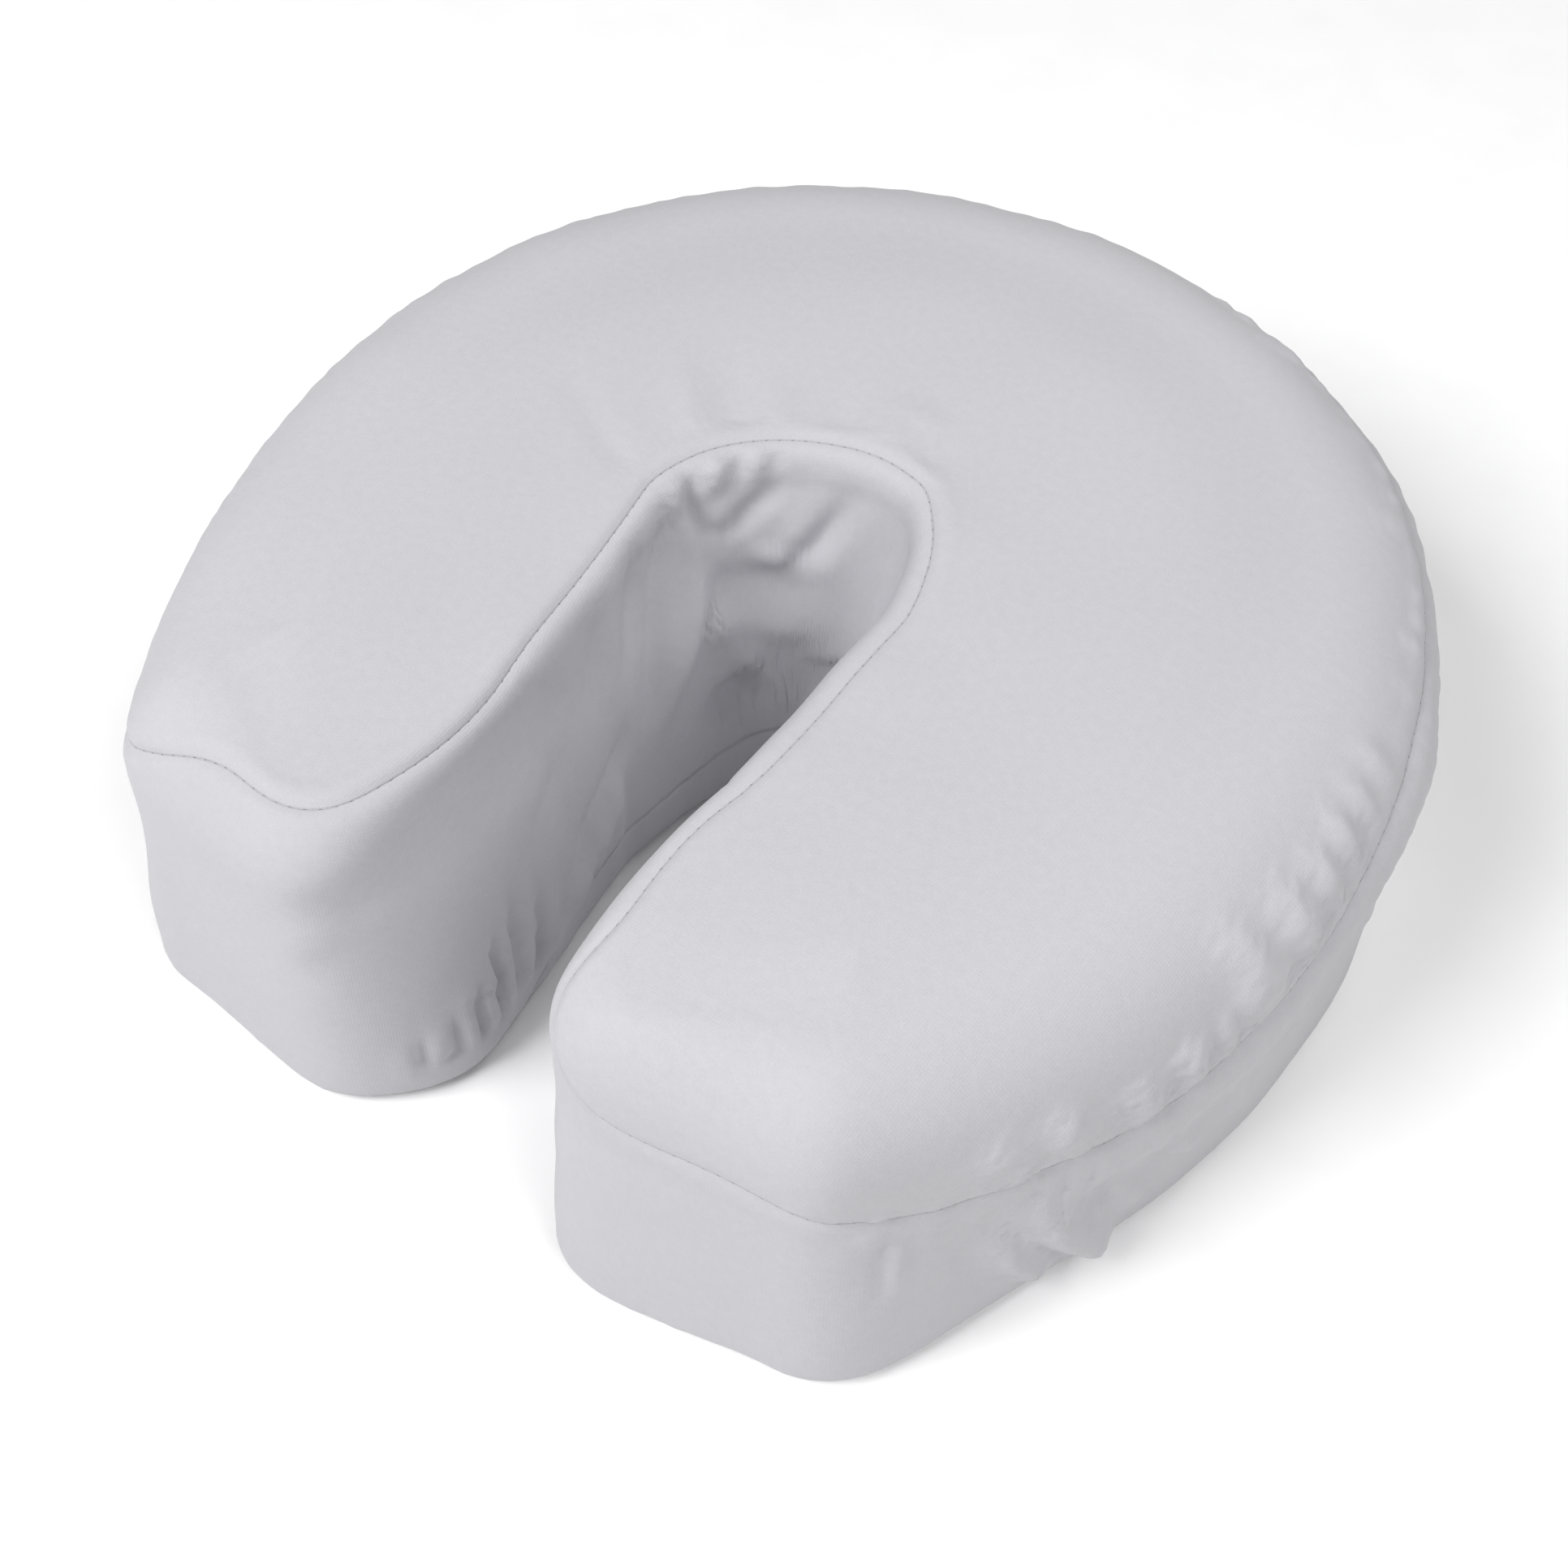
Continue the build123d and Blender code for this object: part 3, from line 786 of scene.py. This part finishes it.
def floor_material():
    """A plain pale backdrop, almost without grain."""
    backdrop = Shader("floor")
    grain = backdrop.noise(40, 3)
    backdrop.tint(grain, (0.93, 0.93, 0.93), (0.95, 0.95, 0.95))
    backdrop.spread(grain, 0.85, 0.95, backdrop.surface.inputs["Roughness"])
    return backdrop.material


cloth = cloth_material()
# The cover's thread is coloured far darker than the cloth: painted shade of the seam grooves that the
# stitches lie in
thread_with_painted_shade = thread_material("cover_thread", (0.14, 0.135, 0.145), (0.24, 0.235, 0.25))
vinyl = vinyl_material()
vinyl_thread = thread_material("upholstery_thread", (0.05, 0.05, 0.055), (0.10, 0.10, 0.11))
elastic = elastic_material()
pile = pile_material()
firm_foam = foam_material("firm_foam", (0.62, 0.60, 0.50), (0.72, 0.70, 0.60), 900)
slow_foam = foam_material("slow_foam", (0.66, 0.64, 0.52), (0.78, 0.76, 0.66), 1500)

# ---------------------------------------------------------------- pieces


def piece_of(piece, body, slot, material, *replaced):
    """Finish a piece: its material, the body it rides on and the CAD nodes it stands for."""
    piece.data.materials.append(material)
    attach(piece, body)
    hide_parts(*replaced)
    return piece


def thicken(piece, thickness):
    """Give a sheet its thickness. A net's faces look inwards, so it grows on the outer side."""
    skin = piece.modifiers.new("thickness", "SOLIDIFY")
    skin.thickness = thickness
    skin.offset = -1
    skin.use_rim = True


def flat_chart(lengths):
    """The place of each point of a net on a panel cut flat: out from the spine, by its length."""
    return feet[:, None] + ways[:, None] * lengths[..., None]


def strip_chart(lengths):
    """The place of each point of a net on a band cut straight."""
    return np.stack([np.broadcast_to(along[:, None], lengths.shape), lengths], axis=-1)


def stitch_row(name, line, out, pitch, length, radius, closed=True):
    """Stitches along a line: short lengths of thread that dip into the cloth at both ends."""
    sides = 8
    if closed:
        line, out = np.concatenate([line, line[:1]]), np.concatenate([out, out[:1]])
    run = np.concatenate([[0], np.linalg.norm(np.diff(line, axis=0), axis=1).cumsum()])
    count = int(run[-1] / pitch)
    share = np.linspace(0, 1, 7)
    thick = radius * np.sin(pi * (0.12 + 0.76 * share)) ** 0.5
    high = radius * (1.4 * np.sin(pi * share) - 0.3)
    around = np.linspace(0, 2 * pi, sides, endpoint=False)
    verts, faces = [], []
    for k in range(count):
        at = (k + 0.5) * run[-1] / count + (share - 0.5) * length
        middle = np.stack([np.interp(at, run, line[:, m]) for m in range(3)], axis=1)
        up = np.array([np.interp(at[3], run, out[:, m]) for m in range(3)])
        ahead = middle[-1] - middle[0]
        ahead /= np.linalg.norm(ahead)
        side = np.cross(ahead, up)
        side /= np.linalg.norm(side)
        up = np.cross(side, ahead)
        first = len(verts)
        for point, wide, lifted in zip(middle, thick, high):
            verts += [point + lifted * up + wide * (cos(t) * side + sin(t) * up) for t in around]
        for start in range(first, len(verts) - sides, sides):
            for m in range(sides):
                near, far = start + m, start + (m + 1) % sides
                faces.append((near, far, far + sides, near + sides))
        faces.append(tuple(range(first, first + sides))[::-1])
        faces.append(tuple(range(len(verts) - sides, len(verts))))
    mesh = bpy.data.meshes.new(name)
    mesh.from_pydata([tuple(v) for v in verts], [], faces)
    return link_smooth(name, mesh)


cover_lengths = depths - depths[:, :1]
cover_out = directions(cover_points)
top = mesh_object("cover_top", cover_points, 0, seam_ring, flat_chart(cover_lengths), True)
band = mesh_object("cover_band", cover_points, seam_ring, hem_ring, strip_chart(cover_lengths))
hem = mesh_object("cover_hem", cover_points, hem_ring, last_ring, strip_chart(cover_lengths))
piece_of(top, "cover", "cover_cloth", cloth, "cover_top_panel")
piece_of(band, "cover", "cover_cloth", cloth, "cover_side_band")
piece_of(hem, "cover", "cover_cloth", cloth, "cover_hem_casing")
cloth_thickness, elastic_thickness = 0.0004, 0.0006
for piece in (top, band, hem):
    thicken(piece, cloth_thickness)

elastic_inset = 0.0010  # from the cloth's inner face
strip = cover_points - elastic_inset * cover_out
strip_first, strip_last = hem_ring + 5, hem_ring + 11  # rings of the hem between which it runs
hem_elastic = mesh_object("hem_elastic", strip, strip_first, strip_last, strip_chart(cover_lengths))
piece_of(hem_elastic, "cover", "elastic", elastic, "cover_hem_elastic")
thicken(hem_elastic, elastic_thickness)

seam_stitch = 0.0031, 0.0024, 0.00023  # pitch, length and radius
hem_stitch = 0.0031, 0.0022, 0.00020
skin_stitch = 0.0040, 0.0030, 0.00026
seam_stitches = stitch_row(
    "cover_top_stitches", cover_points[:, seam_ring], cover_out[:, seam_ring], *seam_stitch
)
piece_of(seam_stitches, "cover", "cover_thread", thread_with_painted_shade, "cover_top_stitching")
hem_stitches = stitch_row(
    "cover_hem_stitches", cover_points[:, hem_ring], cover_out[:, hem_ring], *hem_stitch
)
piece_of(hem_stitches, "cover", "cover_thread", thread_with_painted_shade, "cover_hem_stitching")
join = crown_column, slice(seam_ring + 1, hem_ring)  # where the band's two ends meet
join_stitches = stitch_row(
    "cover_join_stitches", cover_points[join], cover_out[join], *seam_stitch, closed=False
)
piece_of(join_stitches, "cover", "cover_thread", thread_with_painted_shade, "cover_join_stitching")

cushion_chart = strip_chart(cushion_depths)
skin_over = mesh_object(
    "upholstery_top", cushion_points, 0, cushion_seam, flat_chart(cushion_depths), True
)
piece_of(skin_over, "cushion", "upholstery", vinyl, "upholstery_top_panel")
skin_side = mesh_object("upholstery_band", cushion_points, cushion_seam, cushion_foot, cushion_chart)
piece_of(skin_side, "cushion", "upholstery", vinyl, "upholstery_outer_band", "upholstery_throat_band")
under_rings = np.concatenate([cushion_points[:, cushion_foot:], under_points[:, 1:]], axis=1)
skin_under = mesh_object(
    "upholstery_bottom", under_rings, 0, under_rings.shape[1] - 1, under_rings[..., :2], True
)
piece_of(skin_under, "cushion", "upholstery", vinyl, "upholstery_bottom_panel")
cushion_out = directions(cushion_points)
for name, ring, node in (
    ("upholstery_top_stitches", cushion_seam, "upholstery_top_stitching"),
    ("upholstery_bottom_stitches", cushion_foot, "upholstery_bottom_stitching"),
):
    row = stitch_row(name, cushion_points[:, ring], cushion_out[:, ring], *skin_stitch)
    piece_of(row, "cushion", "upholstery_thread", vinyl_thread, node)

carried_over = {  # CAD nodes that keep their shape, by a word in their name
    "stitching": vinyl_thread, "loop_patch": pile,
    "support_foam": firm_foam, "comfort_foam": slow_foam,
}
for name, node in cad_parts.items():
    for word, material in carried_over.items():
        if word in name:
            node.data.materials.clear()
            node.data.materials.append(material)
            break

# ---------------------------------------------------------------- floor, light and camera

floor_gap = 0.0005  # keeps the floor out of the cloth that lies on it
bpy.ops.mesh.primitive_plane_add(size=8, location=(0, 0, -floor_gap))
floor = bpy.context.object
floor.name = "floor"
floor.data.materials.append(floor_material())

bpy.context.scene.view_settings.view_transform = "Standard"
world = bpy.data.worlds.new("studio")
bpy.context.scene.world = world
world.use_nodes = True
background = world.node_tree.nodes["Background"]
background.inputs["Color"].default_value = (1, 1, 1, 1)
background.inputs["Strength"].default_value = 0.04


def area_light(name, place, power):
    """A soft square light that points at the cushion."""
    light = bpy.data.lights.new(name, "AREA")
    light.size, light.energy = 0.9, power
    holder = bpy.data.objects.new(name, light)
    bpy.context.scene.collection.objects.link(holder)
    holder.location = place
    holder.rotation_euler = (
        (Vector((0, 0, 0.05)) - Vector(place)).to_track_quat("-Z", "Y").to_euler()
    )


area_light("key", (-0.55, -1.05, 1.25), 27)
area_light("right", (1.0, -0.3, 1.1), 11)
area_light("back", (0.3, 0.9, 1.2), 7)
area_light("left", (-1.1, 0.1, 0.9), 2)

azimuth, elevation, roll = radians(33.0), radians(50.6), radians(1.95)
sensor_width, focal_length = 36, 47.47826  # millimetres
distance = 0.511
aim = Vector((0, -0.0533, 0))
side_step, up_step = 0.0223, 0.0306  # the camera stands beside the line through the aim
back = Vector((sin(azimuth) * cos(elevation), -cos(azimuth) * cos(elevation), sin(elevation)))
level = Vector((cos(azimuth), sin(azimuth), 0))
upright = level.cross(-back)
across = level * cos(roll) + upright * sin(roll)
upward = upright * cos(roll) - level * sin(roll)
camera = bpy.data.objects.new("camera", bpy.data.cameras.new("camera"))
camera.data.sensor_width = sensor_width
camera.data.lens = focal_length
place = aim + back * distance + across * side_step + upward * up_step
camera.matrix_world = Matrix((
    (across.x, upward.x, back.x, place.x),
    (across.y, upward.y, back.y, place.y),
    (across.z, upward.z, back.z, place.z),
    (0, 0, 0, 1),
))
bpy.context.scene.collection.objects.link(camera)
bpy.context.scene.camera = camera
